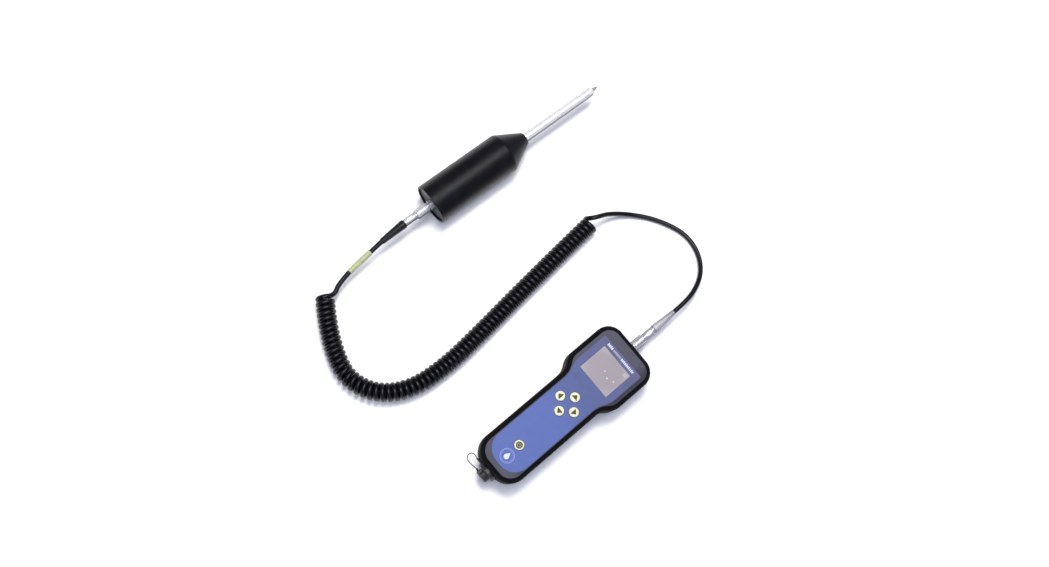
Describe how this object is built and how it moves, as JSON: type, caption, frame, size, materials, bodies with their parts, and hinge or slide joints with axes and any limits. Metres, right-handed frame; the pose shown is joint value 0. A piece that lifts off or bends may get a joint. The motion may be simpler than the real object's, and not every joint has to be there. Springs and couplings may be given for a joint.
{
  "type": "handheld grain moisture meter with a coiled lead and a rod probe",
  "caption": "Handheld moisture meter in a rubber bumper with a display and keys, joined by a coiled lead with push-pull plugs to a cylindrical rod probe.",
  "frame": {"origin": "middle of the flat back that the meter rests on", "axes": "+Z out of the meter face, +Y along the meter from its tail to its display end, +X to its right"},
  "size_m": [0.3066, 0.4133, 0.0448],
  "materials": {
    "bumper_rubber": "matte moulded rubber",
    "case_plastic": "fine textured",
    "seal_rubber": "soft",
    "overlay_blue": "printed polyester film, satin",
    "clear_window": "clear",
    "display_panel": "grey liquid-crystal panel",
    "white_plastic": "moulded",
    "circuit_board": "solder mask",
    "black_plastic": "moulded",
    "steel_screws": "zinc plated",
    "cell_jacket": "printed foil",
    "spring_steel": "nickel plated",
    "key_cream": "smooth silicone",
    "bright_nickel": "satin chrome plating",
    "dark_metal": "dark grey satin coating",
    "cap_black": "moulded",
    "tether_wire": "stranded wire",
    "wire_insulation": "smooth insulation",
    "gold_pins": "gold plated",
    "relief_grey": "translucent grey",
    "cord_black": "smooth jacket",
    "marker_yellow": "clear tinted tube",
    "probe_black": "satin turned plastic",
    "end_cap_grey": "satin",
    "steel_rod": "turned and polished"
  },
  "bodies": {
    "meter": {"battery_cells": "cell_jacket", "battery_contacts": "spring_steel", "battery_tray": "black_plastic", "board_chips": "black_plastic", "board_screws": "steel_screws", "cap_tether": "tether_wire", "case_gasket": "seal_rubber", "case_screws": "steel_screws", "display_backlight": "white_plastic", "display_frame": "white_plastic", "display_glass": "display_panel", "display_window": "clear_window", "face_overlay": "overlay_blue", "front_shell": "case_plastic", "key_switches": "black_plastic", "main_board": "circuit_board", "rear_shell": "case_plastic", "rubber_bumper": "bumper_rubber", "socket_wires": "wire_insulation", "sounder": "black_plastic", "status_lamp": "clear_window", "tail_collar": "dark_metal", "tail_socket": "dark_metal", "tail_socket_insert": "black_plastic", "tail_socket_nut": "dark_metal", "tether_lug": "tether_wire", "top_socket": "bright_nickel", "top_socket_insert": "white_plastic", "top_socket_nut": "bright_nickel"},
    "lead": {"meter_plug_shell": "bright_nickel", "meter_plug_nut": "bright_nickel", "meter_plug_insert": "white_plastic", "meter_plug_relief": "relief_grey", "plug_pins": "gold_pins", "lead_meter_end": "cord_black", "curly_cord": "cord_black", "lead_probe_end": "cord_black", "cable_marker": "marker_yellow", "probe_plug_shell": "bright_nickel", "probe_plug_nut": "bright_nickel", "probe_plug_insert": "white_plastic", "probe_plug_boot": "cord_black"},
    "probe": {"probe_housing": "probe_black", "probe_end_cap": "end_cap_grey", "probe_rod": "steel_rod", "probe_insulator": "white_plastic", "probe_tip": "steel_rod", "probe_board": "circuit_board", "probe_socket": "bright_nickel", "probe_socket_nut": "bright_nickel", "probe_socket_insert": "white_plastic"},
    "meter_sleeve": {"meter_plug_sleeve": "bright_nickel"},
    "probe_sleeve": {"probe_plug_sleeve": "bright_nickel"},
    "dust_cap_body": {"dust_cap": "cap_black"},
    "battery_door_body": {"battery_door": "case_plastic"},
    "key_up_body": {"key_up": "key_cream"},
    "key_down_body": {"key_down": "key_cream"},
    "key_left_body": {"key_left": "key_cream"},
    "key_right_body": {"key_right": "key_cream"},
    "key_power_body": {"key_power": "key_cream"}
  },
  "joints": [
    {"name": "key_up_press", "type": "slide", "parent": "meter", "child": "key_up_body", "axis": [0, 0, -1], "range_m": [0, 0.0006], "stiffness_N_per_m": 1500},
    {"name": "key_down_press", "type": "slide", "parent": "meter", "child": "key_down_body", "axis": [0, 0, -1], "range_m": [0, 0.0006], "stiffness_N_per_m": 1500},
    {"name": "key_left_press", "type": "slide", "parent": "meter", "child": "key_left_body", "axis": [0, 0, -1], "range_m": [0, 0.0006], "stiffness_N_per_m": 1500},
    {"name": "key_right_press", "type": "slide", "parent": "meter", "child": "key_right_body", "axis": [0, 0, -1], "range_m": [0, 0.0006], "stiffness_N_per_m": 1500},
    {"name": "key_power_press", "type": "slide", "parent": "meter", "child": "key_power_body", "axis": [0, 0, -1], "range_m": [0, 0.0006], "stiffness_N_per_m": 1500},
    {"name": "lead_pull", "type": "slide", "parent": "meter", "child": "lead", "axis": [0, 1, 0], "range_m": [0, 0.012]},
    {"name": "meter_sleeve_slide", "type": "slide", "parent": "lead", "child": "meter_sleeve", "axis": [0, 1, 0], "range_m": [0, 0.0015], "stiffness_N_per_m": 1500},
    {"name": "probe_sleeve_slide", "type": "slide", "parent": "lead", "child": "probe_sleeve", "axis": [-0.0349, -0.9994, 0], "range_m": [0, 0.0015], "stiffness_N_per_m": 1500},
    {"name": "probe_pull", "type": "slide", "parent": "lead", "child": "probe", "axis": [0.0349, 0.9994, 0], "range_m": [0, 0.012]},
    {"name": "dust_cap_pull", "type": "slide", "parent": "meter", "child": "dust_cap_body", "axis": [0, -1, 0], "range_m": [0, 0.01], "deforming": ["cap_tether"]},
    {"name": "battery_door_pull", "type": "slide", "parent": "meter", "child": "battery_door_body", "axis": [0, 0, -1], "range_m": [0, 0.01]}
  ]
}
